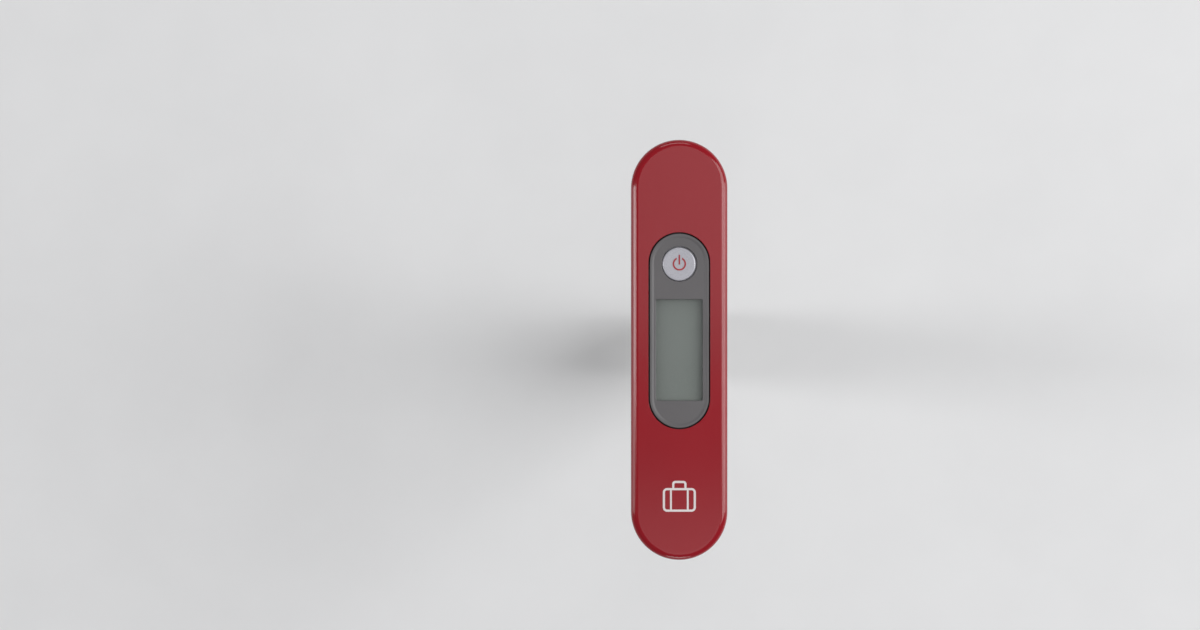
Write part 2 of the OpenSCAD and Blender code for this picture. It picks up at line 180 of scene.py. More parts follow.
def boolean(ob, other, op="DIFFERENCE"):
    m = ob.modifiers.new("cut", "BOOLEAN")
    m.operation, m.object, m.solver = op, other, "EXACT"
    bpy.context.view_layer.update()
    dg = bpy.context.evaluated_depsgraph_get()
    me = bpy.data.meshes.new_from_object(ob.evaluated_get(dg))
    ob.modifiers.clear()
    old = ob.data
    ob.data = me
    bpy.data.meshes.remove(old)
    bpy.data.objects.remove(other, do_unlink=True)
    return ob


def tube(path, r, n=12, closed=False):
    """round tube along 3-D points"""
    P = [Vector(p) for p in path]
    m = len(P)
    loops, u = [], None
    for k in range(m):
        if closed:
            d = (P[(k + 1) % m] - P[k - 1]).normalized()
        else:
            d = (P[min(k + 1, m - 1)] - P[max(k - 1, 0)]).normalized()
        u = d.orthogonal().normalized() if u is None else (u - d * u.dot(d)).normalized()
        v = d.cross(u)
        loops.append([tuple(P[k] + u * r * math.cos(2 * math.pi * i / n) + v * r * math.sin(2 * math.pi * i / n)) for i in range(n)])
    return loft(loops, ring=closed)


# ---------------------------------------------------------------- materials

def lin(c):
    return tuple((x / 12.92 if x <= 0.04045 else ((x + 0.055) / 1.055) ** 2.4) for x in (v / 255 for v in c))


def new_mat(name):
    m = bpy.data.materials.new(name)
    m.use_nodes = True
    nt = m.node_tree
    bsdf = nt.nodes["Principled BSDF"]
    return m, nt, bsdf


def noise(nt, scale, detail=4.0, rough=0.55, vec=None):
    n = nt.nodes.new("ShaderNodeTexNoise")
    n.inputs["Scale"].default_value = scale
    n.inputs["Detail"].default_value = detail
    n.inputs["Roughness"].default_value = rough
    if vec is not None:
        nt.links.new(vec, n.inputs["Vector"])
    return n.outputs["Fac"]


def coords(nt, kind="Object"):
    return nt.nodes.new("ShaderNodeTexCoord").outputs[kind]


def mix(nt, fac, a, b):
    m = nt.nodes.new("ShaderNodeMix")
    m.data_type = "RGBA"
    nt.links.new(fac, m.inputs[0])
    for sock, c in ((m.inputs[6], a), (m.inputs[7], b)):
        if isinstance(c, (tuple, list)):
            sock.default_value = (*c, 1)
        else:
            nt.links.new(c, sock)
    return m.outputs[2]


def remap(nt, fac, lo, hi, a=0.3, b=0.7):
    m = nt.nodes.new("ShaderNodeMapRange")
    for k, v in zip(("From Min", "From Max", "To Min", "To Max"), (a, b, lo, hi)):
        m.inputs[k].default_value = v
    nt.links.new(fac, m.inputs["Value"])
    return m.outputs["Result"]


def math_node(nt, op, a, b=None):
    m = nt.nodes.new("ShaderNodeMath")
    m.operation = op
    for i, v in enumerate((a, b)):
        if v is None:
            continue
        if isinstance(v, (int, float)):
            m.inputs[i].default_value = v
        else:
            nt.links.new(v, m.inputs[i])
    return m.outputs[0]


def bump(nt, bsdf, height, strength, distance):
    b = nt.nodes.new("ShaderNodeBump")
    b.inputs["Strength"].default_value = strength
    b.inputs["Distance"].default_value = distance
    nt.links.new(height, b.inputs["Height"])
    nt.links.new(b.outputs["Normal"], bsdf.inputs["Normal"])


def plastic(name, colour, rough, var=0.06, grain=1800, depth=0.00002, strength=0.25, spec=0.5, coat=0.0, metal=0.0, big=60, rvar=0.05):
    """moulded or cast material: slow colour drift, fine grain in gloss and surface"""
    m, nt, b = new_mat(name)
    c = coords(nt)
    slow, fine = noise(nt, big, 3, 0.5, c), noise(nt, grain, 3, 0.6, c)
    lo = tuple(max(0, x * (1 - var)) for x in colour)
    hi = tuple(min(1, x * (1 + var)) for x in colour)
    nt.links.new(mix(nt, remap(nt, slow, 0, 1), lo, hi), b.inputs["Base Color"])
    nt.links.new(remap(nt, fine, max(0.02, rough - rvar), rough + rvar), b.inputs["Roughness"])
    b.inputs["Specular IOR Level"].default_value = spec
    b.inputs["Metallic"].default_value = metal
    if coat:
        b.inputs["Coat Weight"].default_value = coat
        b.inputs["Coat Roughness"].default_value = 0.06
    bump(nt, b, fine, strength, depth)
    return m


def brushed(name, colour, rough, stretch=(1, 1, 40), scale=300, strength=0.15):
    """metal with fine drawn lines along one direction"""
    m, nt, b = new_mat(name)
    mp = nt.nodes.new("ShaderNodeMapping")
    mp.inputs["Scale"].default_value = stretch
    nt.links.new(coords(nt), mp.inputs["Vector"])
    lines = noise(nt, scale, 4, 0.6, mp.outputs["Vector"])
    slow = noise(nt, 90, 2, 0.5, coords(nt))
    nt.links.new(mix(nt, remap(nt, slow, 0, 1), tuple(x * 0.9 for x in colour), colour), b.inputs["Base Color"])
    nt.links.new(remap(nt, lines, rough * 0.7, rough * 1.4), b.inputs["Roughness"])
    b.inputs["Metallic"].default_value = 1.0
    bump(nt, b, lines, strength, 0.00001)
    return m


def red_shell():
    # glossy moulded red with a faint orange-peel surface and tiny dust specks in the gloss
    m, nt, b = new_mat("red_gloss")
    c = coords(nt)
    slow, peel, fine = noise(nt, 25, 3, 0.5, c), noise(nt, 420, 2, 0.45, c), noise(nt, 3600, 2, 0.6, c)
    nt.links.new(mix(nt, remap(nt, slow, 0, 1), (0.273, 0.0040, 0.0108), (0.297, 0.0050, 0.0124)), b.inputs["Base Color"])
    nt.links.new(remap(nt, fine, 0.10, 0.15), b.inputs["Roughness"])
    b.inputs["Specular IOR Level"].default_value = 0.5
    both = math_node(nt, "ADD", peel, math_node(nt, "MULTIPLY", fine, 0.25))
    bump(nt, b, both, 0.06, 0.00002)
    return m


def weave_mat():
    # narrow-fabric weave from the strip's own length (u) and width (v), in metres
    m, nt, b = new_mat("webbing_weave")
    uv = coords(nt, "UV")
    sep = nt.nodes.new("ShaderNodeSeparateXYZ")
    nt.links.new(uv, sep.inputs[0])
    u, v = sep.outputs[0], sep.outputs[1]
    tau = 2 * math.pi
    # picks across the strip every 0.9 mm, their rows shifted by half on every other rib
    rib = math_node(nt, "FLOOR", math_node(nt, "MULTIPLY", v, 1 / 0.00115))
    odd = math_node(nt, "MODULO", rib, 2.0)
    ph = math_node(nt, "ADD", math_node(nt, "MULTIPLY", u, tau / 0.0014), math_node(nt, "MULTIPLY", odd, math.pi))
    picks = math_node(nt, "ABSOLUTE", math_node(nt, "SINE", math_node(nt, "MULTIPLY", ph, 0.5)))
    yarn = math_node(nt, "ABSOLUTE", math_node(nt, "SINE", math_node(nt, "MULTIPLY", v, math.pi / 0.00115)))
    cell = math_node(nt, "MULTIPLY", picks, yarn)
    mp = nt.nodes.new("ShaderNodeMapping")
    mp.inputs["Scale"].default_value = (1500, 9000, 1)
    nt.links.new(uv, mp.inputs["Vector"])
    fibre = noise(nt, 1, 3, 0.6, mp.outputs["Vector"])
    # eleven lengthwise ribs, with painted shade darkening the valleys between them, and paler selvedges
    turn = math_node(nt, "COSINE", math_node(nt, "MULTIPLY", v, tau * 11 / 0.02484))
    valley_shade_mask = remap(nt, turn, 1, 0, 0.15, 1.0)
    mid = math_node(nt, "ABSOLUTE", math_node(nt, "SUBTRACT", v, 0.01242))
    edge = remap(nt, mid, 0, 1, 0.0113, 0.0119)
    slow = noise(nt, 90, 3, 0.5, coords(nt))
    base = mix(nt, remap(nt, slow, 0, 1), (0.215, 0.200, 0.170), (0.265, 0.248, 0.212))
    # painted shade: the gaps between the picks and yarns darkened towards near black
    yarn_gap_shaded = mix(nt, remap(nt, cell, 0, 1, 0.05, 0.75), (0.080, 0.074, 0.062), base)
    lit = mix(nt, remap(nt, fibre, 0, 1, 0.5, 0.8), yarn_gap_shaded, (0.36, 0.342, 0.300))
    # painted shade: the valleys between the ribs darkened towards near black
    rib_valley_shaded = mix(nt, remap(nt, valley_shade_mask, 0.40, 1, 0, 1), (0.062, 0.058, 0.049), lit)
    nt.links.new(mix(nt, math_node(nt, "MULTIPLY", edge, 0.7), rib_valley_shaded, (0.40, 0.382, 0.335)), b.inputs["Base Color"])
    nt.links.new(remap(nt, fibre, 0.62, 0.82), b.inputs["Roughness"])
    b.inputs["Sheen Weight"].default_value = 0.25
    b.inputs["Sheen Roughness"].default_value = 0.5
    b.inputs["Specular IOR Level"].default_value = 0.3
    h = math_node(nt, "ADD", math_node(nt, "MULTIPLY", cell, 1.0), math_node(nt, "MULTIPLY", fibre, 0.35))
    bump(nt, b, h, 0.9, 0.00018)
    return m


def thread_mat(name, colour):
    m, nt, b = new_mat(name)
    mp = nt.nodes.new("ShaderNodeMapping")
    mp.inputs["Rotation"].default_value = (0.6, 0.5, 0.4)
    mp.inputs["Scale"].default_value = (9000, 2500, 2500)
    nt.links.new(coords(nt), mp.inputs["Vector"])
    f = noise(nt, 1, 2, 0.5, mp.outputs["Vector"])
    nt.links.new(mix(nt, remap(nt, f, 0, 1), tuple(x * 0.55 for x in colour), colour), b.inputs["Base Color"])
    b.inputs["Roughness"].default_value = 0.55
    b.inputs["Sheen Weight"].default_value = 0.2
    bump(nt, b, f, 0.6, 0.00006)
    return m


def lcd_mat():
    # reflective display behind its polariser: grey-green with a faint slow blotchy tone, and painted shade that
    # darkens it towards the button end
    m, nt, b = new_mat("lcd_polariser")
    c = coords(nt)
    sep = nt.nodes.new("ShaderNodeSeparateXYZ")
    nt.links.new(c, sep.inputs[0])
    # painted shade: darker towards +y, the button end, as the light fell across the display
    end_shade_painted = remap(nt, sep.outputs[1], 0, 1, -0.016, 0.016)
    slow, fine = noise(nt, 120, 2, 0.5, c), noise(nt, 5200, 2, 0.6, c)
    base = mix(nt, end_shade_painted, (0.214, 0.240, 0.222), (0.192, 0.214, 0.200))
    nt.links.new(mix(nt, remap(nt, slow, 0, 0.5), base, (0.206, 0.233, 0.213)), b.inputs["Base Color"])
    nt.links.new(remap(nt, fine, 0.22, 0.32), b.inputs["Roughness"])
    b.inputs["Specular IOR Level"].default_value = 0.5
    bump(nt, b, fine, 0.1, 0.00001)
    return m


def lens_mat():
    m, nt, b = new_mat("lens_clear")
    c = coords(nt)
    f = noise(nt, 1400, 2, 0.5, c)
    nt.links.new(mix(nt, f, (0.20, 0.22, 0.21), (0.26, 0.28, 0.27)), b.inputs["Base Color"])
    nt.links.new(remap(nt, f, 0.03, 0.07), b.inputs["Roughness"])
    b.inputs["Alpha"].default_value = 0.10
    b.inputs["IOR"].default_value = 1.49
    m.surface_render_method = "BLENDED"
    return m


def floor_mat():
    m, nt, b = new_mat("floor_paper")
    f = noise(nt, 40, 3, 0.5, coords(nt))
    nt.links.new(mix(nt, f, (0.78, 0.78, 0.785), (0.82, 0.82, 0.825)), b.inputs["Base Color"])
    b.inputs["Roughness"].default_value = 0.95
    b.inputs["Specular IOR Level"].default_value = 0.05
    out = nt.nodes["Material Output"]
    geo = nt.nodes.new("ShaderNodeNewGeometry")
    ms, tr = nt.nodes.new("ShaderNodeMixShader"), nt.nodes.new("ShaderNodeBsdfTransparent")
    nt.links.new(geo.outputs["Backfacing"], ms.inputs[0])
    nt.links.new(b.outputs[0], ms.inputs[1])
    nt.links.new(tr.outputs[0], ms.inputs[2])
    nt.links.new(ms.outputs[0], out.inputs["Surface"])
    return m


M = {
    "red": red_shell(),
    "bezel": plastic("bezel_satin", (0.118, 0.112, 0.116), 0.36, var=0.05, grain=2600, strength=0.3),
    "hull": plastic("shell_satin", (0.130, 0.124, 0.119), 0.40, var=0.06, grain=2200, strength=0.35),
    "pearl": plastic("button_pearl", (0.445, 0.442, 0.484), 0.30, var=0.04, grain=3400, strength=0.25, coat=0.25, metal=0.25),
    "icon": plastic("icon_red", (0.36, 0.030, 0.040), 0.42, var=0.08, grain=3800),
    "mark": plastic("mark_ink", (0.72, 0.66, 0.655), 0.45, var=0.05, grain=4200),
    "lens": lens_mat(),
    "lcd": lcd_mat(),
    "guide": plastic("guide_milky", (0.72, 0.74, 0.74), 0.35, var=0.03),
    "zebra": plastic("zebra_rubber", (0.10, 0.045, 0.06), 0.6, var=0.3, big=2500),
    "pcb": plastic("board_green", (0.012, 0.090, 0.035), 0.35, var=0.35, big=900, grain=1200),
    "resin": plastic("resin_black", (0.012, 0.012, 0.013), 0.42, var=0.25, grain=2400),
    "tin": brushed("plated_tin", (0.66, 0.66, 0.67), 0.28, (20, 1, 1)),
    "screw": brushed("screw_steel", (0.58, 0.58, 0.60), 0.24, (1, 20, 1)),
    "beam": brushed("beam_aluminium", (0.70, 0.71, 0.72), 0.36, (1, 0.05, 1), 1200),
    "foil": plastic("gauge_foil", (0.55, 0.31, 0.10), 0.35, var=0.2, big=1600, metal=0.5),
    "wire": plastic("wire_cover", (0.60, 0.58, 0.55), 0.45, var=0.1),
    "wire_red": plastic("wire_cover_red", (0.42, 0.02, 0.02), 0.45, var=0.1),
    "chrome": brushed("eye_nickel", (0.56, 0.55, 0.54), 0.24, (1, 1, 8), 500, 0.05),
    "ring": brushed("ring_nickel", (0.56, 0.555, 0.55), 0.22, (1, 4, 4), 400, 0.04),
    "rubber": plastic("grommet_rubber", (0.020, 0.020, 0.021), 0.62, var=0.2, grain=1500, strength=0.4),
    "cell": brushed("cell_steel", (0.68, 0.69, 0.70), 0.22, (1, 24, 1), 260),
    "contact": brushed("contact_nickel", (0.66, 0.62, 0.52), 0.26, (1, 24, 1)),
    "webbing": weave_mat(),
    "thread": thread_mat("seam_thread", (0.035, 0.033, 0.030)),
    "floor": floor_mat(),
}


def dress(ob, key, body=None, node=()):
    ob.data.materials.clear()
    ob.data.materials.append(M[key])
    if body:
        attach(ob, body)
    if node:
        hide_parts(*node)
    return ob


# ---------------------------------------------------------------- top cover

def cover():
    body = lambda o: stadium(2 * HALF_L + 2 * BODY_R, 2 * BODY_R, o)
    pocket = lambda o: stadium(63.2, 19.8, o, cy=6.15)
    window = lambda o: rrect(17, 34.5, 0.6, o)
    hole = lambda o: circle(5.7, o, cy=BUTTON_Y)
    p = 0.07
    side = [(-1.8, 0), (-0.32, 0), (-0.28, 0.02), (0, 0.30), (0, 0.34), (0, 0.9), (0, 2.4), (0, 3.65)]
    side += [(x - EDGE_R, z) for x, z in fan(EDGE_R, 0, COVER_H - EDGE_R, 0, 90, 16)]
    side += [(-2.36, COVER_H), (-2.6, COVER_H), (-3.3, COVER_H)]
    parts = [wall(body, side)]
    parts.append(flat_fill(body(-3.3), [pocket(0.9)], COVER_H))
    rim = [(0.9, COVER_H), (0.3, COVER_H), (p + 0.04, COVER_H), (p, COVER_H)]
    rim += [(p - p * math.sin(math.radians(a)), COVER_H - p + p * math.cos(math.radians(a))) for a in (15, 30, 45, 60, 75, 90)]
    rim += [(0, COVER_H - p - 0.04), (0, 4.6), (0, 4.55), (-0.40, 4.55), (-0.45, 4.6), (-0.45, 5.0)]
    parts.append(wall(pocket, rim))
    parts.append(flat_fill(pocket(-0.45), [window(0), hole(0)], 5.0))
    parts.append(wall(window, [(0, 5.0), (0, ROOF)]))
    parts.append(wall(hole, [(0, 5.0), (0, ROOF)]))
    parts.append(flat_fill(body(-1.8), [window(0), hole(0)], ROOF))
    parts.append(wall(body, [(-1.8, ROOF), (-1.8, 0)]))
    return make("top_shell", parts, 34)


def cover_posts():
    parts = []
    for x, y in [(9.3, 32), (-9.3, 32), (9.3, -25), (-9.3, -25)]:
        parts.append(lathe([(0.8, 0), (0.8, 3.4), (0.79, 3.4), (0.01, 3.6), (0.01, 4.2), (2.3, 4.2), (2.05, 3.6), (1.95, 0.1), (1.85, 0)], 32, x, y))
    for x in (6.5, -6.5):
        for y in (58, -58):
            parts.append(lathe([(1.0, 0), (1.0, 3.6), (0.99, 3.6), (0.01, 3.8), (0.01, 4.2), (2.7, 4.2), (2.4, 3.6), (2.35, 0.1), (2.25, 0)], 32, x, y))
    inner = lambda o: rrect(18.4, 38.8, 0.4, o)
    parts.append(wall(inner, [(0, 1.2), (0, 4.2), (1.0, 4.2), (1.0, 1.3), (0.9, 1.2), (0, 1.2)]))
    return make("shell_posts", parts, 34)


# ---------------------------------------------------------------- lower shell

def keel(y):
    return 15.0 - 11.6 * (y / 67.5) ** 2


def inset_at(x, y):
    return BODY_R - abs(x) if abs(y) <= HALF_L else BODY_R - math.hypot(x, abs(y) - HALF_L)


def hull_z(x, y, inset=0.0, up=0.0):
    d = max(0.0, inset_at(x, y) - inset)
    t = min(d / (11 - inset), 1)
    return -(1.2 + (keel(y) - up - 1.2) * math.sqrt(max(0, 1 - (1 - t) ** 2)))


def hull_loops(inset, up, steps, n_arc=32, n_side=40):
    rc = 11 - inset
    out = []
    for k in range(steps + 1):
        th = math.pi / 2 * k / steps
        d, g = rc * (1 - math.cos(th)), math.sin(th)
        flat = stadium(2 * HALF_L + 2 * (BODY_R - inset - d), 2 * (BODY_R - inset - d), 0, n_arc, n_side)
        out.append([(x, y, -(1.2 + (keel(y) - up - 1.2) * g)) for x, y in flat])
    return out


def keel_fill(loop, n_arc=32, n_side=40, cols=6):
    """quads across the bottom, from the last loop's right-hand points to its left-hand ones"""
    n = len(loop)
    pairs = []
    for i in range(n_side + n_arc // 2 + 1):
        l = n_side + n_arc + (n_side - i) if i <= n_side else n_side + n_arc - (i - n_side)
        pairs.append((i, l % n))
    low = [((n - i) % n, n_side + n_arc + n_side + i) for i in range(1, n_arc // 2 + 1)]
    rows = [(a, b) for a, b in reversed(low)] + pairs
    pts, faces = [], []
    for a, b in rows:
        pa, pb = Vector(loop[a]), Vector(loop[b % n])
        for c in range(cols + 1):
            pts.append(tuple(pa.lerp(pb, c / cols)))
    for r in range(len(rows) - 1):
        for c in range(cols):
            k = r * (cols + 1) + c
            faces.append((k, k + 1, k + cols + 2, k + cols + 1))
    return pts, faces


def hull_parts(inset, up, steps, top):
    loops = hull_loops(inset, up, steps)
    flat = [(x, y) for x, y, _ in loops[0]]
    head = [[(x, y, z) for x, y in flat] for z in top]
    walls = loft(head + loops, False, False)
    return walls, keel_fill(loops[-1]), flat


def lower_shell():
    body = lambda o: stadium(2 * HALF_L + 2 * BODY_R, 2 * BODY_R, o, 32, 40)
    outer, outer_keel, _ = hull_parts(0, 0, 26, [-0.34, -0.8])
    inner, inner_keel, inner_flat = hull_parts(1.8, 1.8, 14, [0.0])
    lipped = wall(body, [(-1.8, 0), (-0.32, 0), (-0.28, -0.02), (0, -0.30), (0, -0.34)])
    ob = make("lower_shell", [outer, outer_keel, inner, inner_keel, lipped], 30)
    # wells and posts, trimmed to the inside of the wall
    a, ak, af = hull_parts(0.6, 0.6, 10, [0.0])
    core = make("core", [a, ak, flat_fill(af, [], 0.0)], 30)
    blocks = [loft([[(x, y, z) for x, y in rrect(24.1, 25.6, 4, 0, 8, 0, DOOR_Y)] for z in (-20, -2.9)])]
    for x in (6.5, -6.5):
        for y in (58, -58):
            blocks.append(loft([[(px, py, z) for px, py in circle(3.2, 0, 40, x, y)] for z in (-20, -0.02)]))
    for y in (24.5, -24.5):
        blocks.append(loft([[(px, py, z) for px, py in circle(4.4, 0, 40, 0, y)] for z in (-20, -9)]))
    for blk in blocks:
        piece = make("block", [blk], 30)
        tool = link("core_copy", core.data.copy())
        boolean(piece, tool, "INTERSECT")
        boolean(ob, piece, "UNION")
    bpy.data.objects.remove(core, do_unlink=True)
    cuts = [loft([[(x, y, z) for x, y in rrect(22.1, 23.6, 3.3, 0, 12, 0, DOOR_Y)] for z in (-20, 1)])]
    for x in (6.5, -6.5):
        for y in (58, -58):
            cuts.append(lathe([(0, -20), (2.45, -20), (2.2, -2.6), (2.2, -2.4), (1.15, -2.4), (1.15, 1), (0, 1)], 48, x, y))
    for y in (24.5, -24.5):
        cuts.append(lathe([(0, -12.2), (1.5, -12.2), (1.5, -6), (0, -6)], 32, 0, y))
    cuts.append(lathe([(0, -20), (4.5, -20), (4.5, -9), (0, -9)], 64, 0, 0))
    for c in cuts:
        boolean(ob, make("tool", [c], 30), "DIFFERENCE")
    for f in ob.data.polygons:
        f.use_smooth = True
    ob.data.set_sharp_from_angle(angle=math.radians(30))
    return ob


def fillet(points, radii, n=8):
    out, m = [], len(points)
    for i in range(m):
        p0, p, p1 = Vector(points[i - 1]), Vector(points[i]), Vector(points[(i + 1) % m])
        a, b, r = (p0 - p).normalized(), (p1 - p).normalized(), radii[i]
        ang = a.angle(b)
        t = r / math.tan(ang / 2)
        bis = (a + b).normalized()
        c = p + bis * (r / math.sin(ang / 2))
        s, e = p + a * t - c, p + b * t - c
        sweep = math.atan2(s.x * e.y - s.y * e.x, s.dot(e))
        for k in range(n + 1):
            w = sweep * k / n
            out.append((c.x + s.x * math.cos(w) - s.y * math.sin(w), c.y + s.x * math.sin(w) + s.y * math.cos(w)))
    return out


def densify(pts, step):
    out = []
    for i, p in enumerate(pts):
        q = pts[(i + 1) % len(pts)]
        d = math.dist(p, q)
        k = max(1, int(d / step))
        for j in range(k):
            out.append((p[0] + (q[0] - p[0]) * j / k, p[1] + (q[1] - p[1]) * j / k))
    return out


def inset_outline(pts, d):
    out, n = [], len(pts)
    for i in range(n):
        a, b, c = pts[i - 1], pts[i], pts[(i + 1) % n]
        e1, e2 = Vector((b[0] - a[0], b[1] - a[1])), Vector((c[0] - b[0], c[1] - b[1]))
        n1, n2 = Vector((-e1.y, e1.x)), Vector((-e2.y, e2.x))
        v = (n1.normalized() + n2.normalized())
        v = v.normalized() * d / max(0.5, v.length / 2)
        out.append((b[0] + v.x, b[1] + v.y))
    return out


def door():
    w, y0, y1 = DOOR_W / 2, DOOR_Y - DOOR_L / 2, DOOR_Y + DOOR_L / 2
    corners = [(w, y0), (w, y1), (4, y1), (4, y1 - 1.6), (-4, y1 - 1.6), (-4, y1), (-w, y1), (-w, y0)]
    outline = densify(fillet(corners, [3, 3, 0.5, 0.7, 0.7, 0.5, 3, 3]), 0.7)
    # counter-clockwise outline, so a positive inset moves in
    rnd = 0.45
    out_loops, in_loops = [], []
    for k in range(7):
        a = math.radians(90 * k / 6)
        off, up = rnd * (1 - math.sin(a)), rnd * (1 - math.cos(a))
        out_loops.append([(x, y, hull_z(x, y) + up) for x, y in inset_outline(outline, off)])
    out_loops.reverse()
    base = inset_outline(outline, rnd)
    seq = []
    for s in (0.985, 0.95, 0.9, 0.8, 0.7, 0.6, 0.5, 0.4, 0.3, 0.2, 0.1, 0.02):
        seq.append([(x * s, DOOR_Y + (y - DOOR_Y) * s) for x, y in base])
    top = [[(x, y, hull_z(x, y)) for x, y in l] for l in reversed(seq)]
    back = [[(x, y, hull_z(x, y, 1.8, 1.8)) for x, y in l] for l in [outline] + seq]
    # centre out along the outer face, round the edge, then back in along the inner face
    loops = top + out_loops[::-1] + back
    parts = [loft(loops)]
    # grip ribs beside the thumb notch
    for k in range(3):
        y = y1 - 3.6 - 1.25 * k
        half = 4.6 - 0.5 * k
        pts = [(-half + 2 * half * i / 16, y, 0) for i in range(17)]
        pts = [(x, y, hull_z(x, y) - 0.02) for x, y, _ in pts]
        parts.append(tube(pts, 0.27, 12))
    # two hooks at the far edge
    for x in (-6, 6):
        parts.append(loft([[(px, py, z) for px, py in rrect(3.2, 1.5, 0.4, 0, 4, x, y0 + 1.6)] for z in (hull_z(x, y0 + 1.6, 1.8, 1.8) - 0.2, -4.4, -4.0)]))
    return make("door_panel", parts, 34)


# ---------------------------------------------------------------- face parts

def bezel():
    rim = lambda o: stadium(62.26, 18.86, o, cy=6.15)
    window = lambda o: rrect(15, 32.5, 0.7, o)
    hole = lambda o: circle(5.7, o, cy=BUTTON_Y)
    e = 0.14
    prof = [(0, 5.0), (0, 6.3 - e - 0.05)]
    prof += [(-e + x, z) for x, z in fan(e, 0, 6.3 - e, 0, 90, 6)]
    prof += [(-e - 0.04, 6.3), (-0.52, 6.3), (-0.60, 6.297), (-0.72, 6.275), (-0.98, 6.20), (-1.20, 6.128), (-1.30, 6.106), (-1.38, 6.1), (-1.44, 6.1)]
    parts = [wall(rim, prof), flat_fill(rim(-1.44), [window(0.32), hole(0.4)], 6.1)]
    w = 0.22
    wp = [(0.32, 6.1), (w + 0.05, 6.1)] + [(w - w * math.sin(math.radians(a)), 6.1 - w + w * math.cos(math.radians(a))) for a in range(0, 91, 15)] + [(0, 5.8), (0, 5.0)]
    parts.append(wall(window, wp))
    hp = [(0.4, 6.1), (0.2, 6.1)] + [(0.16 - 0.16 * math.sin(math.radians(a)), 5.94 + 0.16 * math.cos(math.radians(a))) for a in range(0, 91, 15)] + [(0, 5.85), (0, 5.0)]
    parts.append(wall(hole, hp))
    parts.append(flat_fill(rim(0), [window(0), hole(0)], 5.0))
    return make("bezel_frame", parts, 34)


def gap_shade_ring():
    # black ring laid in the gap between cover and bezel: painted shade that darkens the gap
    f = lambda o: stadium(63.2, 19.8, o, cy=6.15)
    return make("bezel_gap_shade", [wall(f, [(-0.01, 4.56), (-0.01, 4.86), (-0.06, 4.92), (-0.22, 4.95), (-0.38, 4.92), (-0.44, 4.86), (-0.44, 4.56), (-0.01, 4.56)])], 40)


def slab(name, w, l, r, z0, z1, edge=0.12, cy=0.0, extra=()):
    f = lambda o: rrect(w, l, r, o, cy=cy)
    prof = [(-edge, z0), (0, z0 + edge), (0, z1 - edge)] + [(-edge + x, z) for x, z in fan(edge, 0, z1 - edge, 15, 90, 5)] + [(-edge - 0.05, z1)]
    parts = [wall(f, prof), flat_fill(f(-edge - 0.05), [], z1), flat_fill(f(-edge), [], z0)]
    return make(name, parts + list(extra), 34)


def lcd():
    lower = lambda o: rrect(17.6, 37.8, 0.15, o)
    upper = lambda o: rrect(17.6, 34.8, 0.15, o)
    parts = []
    for f, z0, z1 in ((lower, 1.9, 2.89), (upper, 2.9, 3.9)):
        parts += [wall(f, [(-0.06, z0), (0, z0 + 0.06), (0, z1 - 0.06), (-0.06, z1), (-0.1, z1)]), flat_fill(f(-0.1), [], z1), flat_fill(f(-0.06), [], z0)]
    return make("lcd_plates", parts, 34)


def button():
    top = 6.1
    p = [(0, 2.6), (1.85, 2.6), (2.0, 2.75), (2.0, 3.1), (6.35, 3.1), (6.5, 3.25), (6.5, 3.75), (6.35, 3.9), (5.5, 3.9), (5.4, 4.0), (5.4, 4.4), (5.4, 5.55)]
    p += [(5.4 - 0.5 + x, z) for x, z in fan(0.5, 0, top - 0.5, 6, 90, 9)]
    p += [(4.84, top), (4.7, top - 0.002)]
    p += [(r, top - 0.05 * (1 - (r / 4.7) ** 2) ** 1.5) for r in (4.4, 4.0, 3.5, 3.0, 2.4, 1.8, 1.2, 0.6)]
    p += [(0, top - 0.05)]
    # the cap sits a little to one side in its hole, as a loose moulded part does
    return make("button_dome", [lathe(p, 128, -0.10, BUTTON_Y - 0.08)], 34)


# ---------------------------------------------------------------- eye and ring

def eye():
    # cast eye: a rounded ring, a flared neck, and the threaded end inside the body
    r, t, c = 4.0, 1.0, 0.42
    sec = []
    for qx, qy, a0 in ((1, 1, 0), (-1, 1, 90), (-1, -1, 180), (1, -1, 270)):
        for i in range(6):
            a = math.radians(a0 + 18 * i)
            sec.append((qx * (t - c) + c * math.cos(a), qy * (1.5 - c) + c * math.sin(a)))
    loops = []
    for k in range(96):
        a = 2 * math.pi * k / 96
        loops.append([((r + u) * math.cos(a), v, EYE_Z + (r + u) * math.sin(a)) for u, v in sec])
    ring = make("eye_bolt", [loft(loops, ring=True)], 40)
    neck = [(0, -18.0), (1.5, -18.0), (1.52, -17.7), (1.6, -17.4), (1.85, -17.0), (2.2, -16.7), (2.42, -16.5), (2.5, -16.3), (2.5, -9.35), (2.3, -9.15), (2.0, -9.0)]
    z = -8.9
    while z < -2.5:
        neck += [(1.98, z), (1.74, z + 0.22), (1.74, z + 0.3), (1.98, z + 0.52)]
        z += 0.7
    neck += [(1.9, -2.1), (1.6, -1.92), (0, -1.92)]
    boolean(ring, make("neck", [lathe(neck, 64)], 40), "UNION")
    for f in ring.data.polygons:
        f.use_smooth = True
    ring.data.set_sharp_from_angle(angle=math.radians(34))
    return ring


def grommet():
    p = [(2.7, -15.6), (2.72, -15.75), (2.82, -15.86), (2.98, -15.9), (5.5, -15.9)]
    p += [(5.5 + 0.5 * math.sin(math.radians(a)), -15.4 - 0.5 * math.cos(math.radians(a))) for a in (15, 30, 45, 60, 75, 90)]
    p += [(6.0, -15.2), (5.95, -15.12), (5.85, -15.1), (4.5, -15.1), (4.45, -15.0), (4.45, -12.75), (4.3, -12.6), (2.85, -12.6), (2.7, -12.75)]
    return make("eye_gasket", [lathe(p, 96)], 34)


